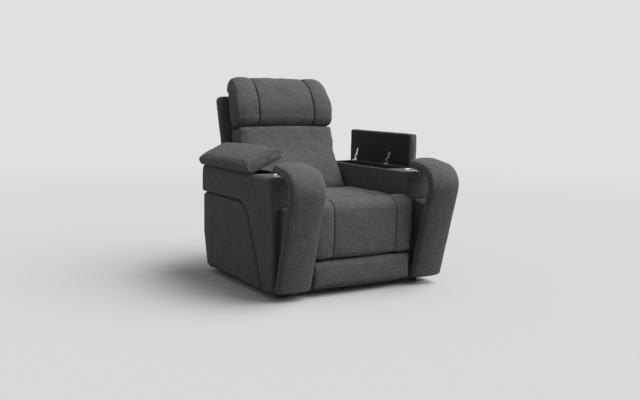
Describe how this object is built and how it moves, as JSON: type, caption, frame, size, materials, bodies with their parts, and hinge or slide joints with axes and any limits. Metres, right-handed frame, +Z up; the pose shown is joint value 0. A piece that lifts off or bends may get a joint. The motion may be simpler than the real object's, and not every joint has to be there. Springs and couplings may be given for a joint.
{
  "type": "cinema recliner seat",
  "caption": "Upholstered power recliner seat with front-post arms, cup holders, lidded arm storage, tilting headrest and folding footrest.",
  "frame": {"origin": "on the floor, at the centre of the four glides, midway between the arms", "axes": "+X to the viewer's right, the seat faces -Y, +Z up"},
  "size_m": [1.0747, 1.1959, 1.0905],
  "materials": {
    "woven_fabric": "charcoal heathered plain weave",
    "side_fabric": "charcoal heathered plain weave, on the arms' sides and the back",
    "lid_lining": "black board covered in thin cloth",
    "black_plastic": "moulded, fine grain",
    "frame_wood": "plywood and softwood, unfinished",
    "bright_metal": "bright plated steel",
    "cup_metal": "drawn steel cup",
    "button_metal": "satin round button",
    "glide_plastic": "dull black",
    "painted_steel": "black powder coat"
  },
  "bodies": {
    "root": {"base_frame": "painted_steel", "feet": "glide_plastic", "side_plates": "painted_steel", "pivot_pins": "bright_metal", "footrest_actuator": "black_plastic", "recline_actuator": "black_plastic", "power_supply": "black_plastic", "rear_panel": "side_fabric", "seat_frame": "frame_wood", "seat_springs": "painted_steel", "seat_cushion": "woven_fabric", "left_arm_frame": "frame_wood", "right_arm_frame": "frame_wood", "left_inner_panel": "side_fabric", "right_inner_panel": "side_fabric", "left_outer_upper_panel": "side_fabric", "right_outer_upper_panel": "side_fabric", "left_outer_lower_panel": "side_fabric", "right_outer_lower_panel": "side_fabric", "left_cup_housing": "side_fabric", "right_cup_housing": "side_fabric", "left_cup_liner": "cup_metal", "right_cup_liner": "cup_metal", "left_cup_ring": "bright_metal", "right_cup_ring": "bright_metal", "left_storage_tub": "black_plastic", "right_storage_tub": "black_plastic", "left_post": "woven_fabric", "right_post": "woven_fabric", "left_post_web": "side_fabric", "right_post_web": "side_fabric", "lid_hinge_pins": "bright_metal", "control_plate": "black_plastic"},
    "lower_link_pair": {"lower_links": "painted_steel", "torque_tube": "painted_steel", "knee_pins": "bright_metal"},
    "upper_link_pair": {"upper_links": "painted_steel"},
    "footrest": {"footrest_board": "frame_wood", "footrest_brackets": "painted_steel", "footrest_pins": "bright_metal", "footrest_pad": "woven_fabric", "footrest_lower_pad": "woven_fabric"},
    "backrest": {"back_brackets": "painted_steel", "back_frame": "frame_wood", "back_springs": "painted_steel", "back_cushion": "woven_fabric", "back_shell": "side_fabric", "headrest_arms": "painted_steel", "headrest_actuator": "black_plastic"},
    "headrest": {"headrest_board": "frame_wood", "headrest_cushion": "woven_fabric"},
    "left_lid": {"left_lid_board": "lid_lining", "left_lid_pad": "woven_fabric"},
    "right_lid": {"right_lid_board": "lid_lining", "right_lid_pad": "woven_fabric"},
    "footrest_drive": {"footrest_drive_block": "glide_plastic"},
    "recline_drive": {"recline_drive_block": "glide_plastic"},
    "recline_key": {"back_button": "button_metal"},
    "footrest_key": {"footrest_button": "button_metal"},
    "headrest_key": {"headrest_button": "button_metal"}
  },
  "joints": [
    {"name": "footrest_extend", "type": "hinge", "parent": "root", "child": "lower_link_pair", "pos_m": [0, -0.208, 0.3], "axis": [-1, 0, 0], "range_deg": [0, 76]},
    {"name": "footrest_knee", "type": "hinge", "parent": "lower_link_pair", "child": "upper_link_pair", "pos_m": [0, -0.19263, 0.0655], "axis": [-1, 0, 0], "range_deg": [-87, 0]},
    {"name": "footrest_turn", "type": "hinge", "parent": "upper_link_pair", "child": "footrest", "pos_m": [0, -0.35003, 0.24], "axis": [-1, 0, 0], "range_deg": [0, 99]},
    {"name": "back_recline", "type": "hinge", "parent": "root", "child": "backrest", "pos_m": [0, 0.19, 0.33], "axis": [-1, 0, 0], "range_deg": [0, 38]},
    {"name": "headrest_tilt", "type": "hinge", "parent": "backrest", "child": "headrest", "pos_m": [0, 0.42137, 0.86122], "axis": [1, 0, 0], "range_deg": [0, 30]},
    {"name": "left_lid_hinge", "type": "hinge", "parent": "root", "child": "left_lid", "pos_m": [-0.493, 0.1, 0.604], "axis": [0, -1, 0], "range_deg": [-24, 66]},
    {"name": "right_lid_hinge", "type": "hinge", "parent": "root", "child": "right_lid", "pos_m": [0.493, 0.1, 0.604], "axis": [0, 1, 0], "range_deg": [-90, 0]},
    {"name": "footrest_drive_slide", "type": "slide", "parent": "root", "child": "footrest_drive", "axis": [0, -1, 0], "range_m": [0, 0.12]},
    {"name": "recline_drive_slide", "type": "slide", "parent": "root", "child": "recline_drive", "axis": [0, 1, 0], "range_m": [0, 0.12]},
    {"name": "recline_press", "type": "slide", "parent": "root", "child": "recline_key", "axis": [-1, 0, 0], "range_m": [0, 0.0025], "stiffness_N_per_m": 400, "springref_m": -0.0005},
    {"name": "footrest_press", "type": "slide", "parent": "root", "child": "footrest_key", "axis": [-1, 0, 0], "range_m": [0, 0.0025], "stiffness_N_per_m": 400, "springref_m": -0.0005},
    {"name": "headrest_press", "type": "slide", "parent": "root", "child": "headrest_key", "axis": [-1, 0, 0], "range_m": [0, 0.0025], "stiffness_N_per_m": 400, "springref_m": -0.0005}
  ],
  "couplings": [
    {"joint": "footrest_knee", "follows": "footrest_extend", "ratio": -1.14},
    {"joint": "footrest_turn", "follows": "footrest_extend", "ratio": 1.3},
    {"joint": "footrest_drive_slide", "follows": "footrest_extend", "m_per_rad": 0.0867},
    {"joint": "recline_drive_slide", "follows": "back_recline", "m_per_rad": 0.1734}
  ]
}
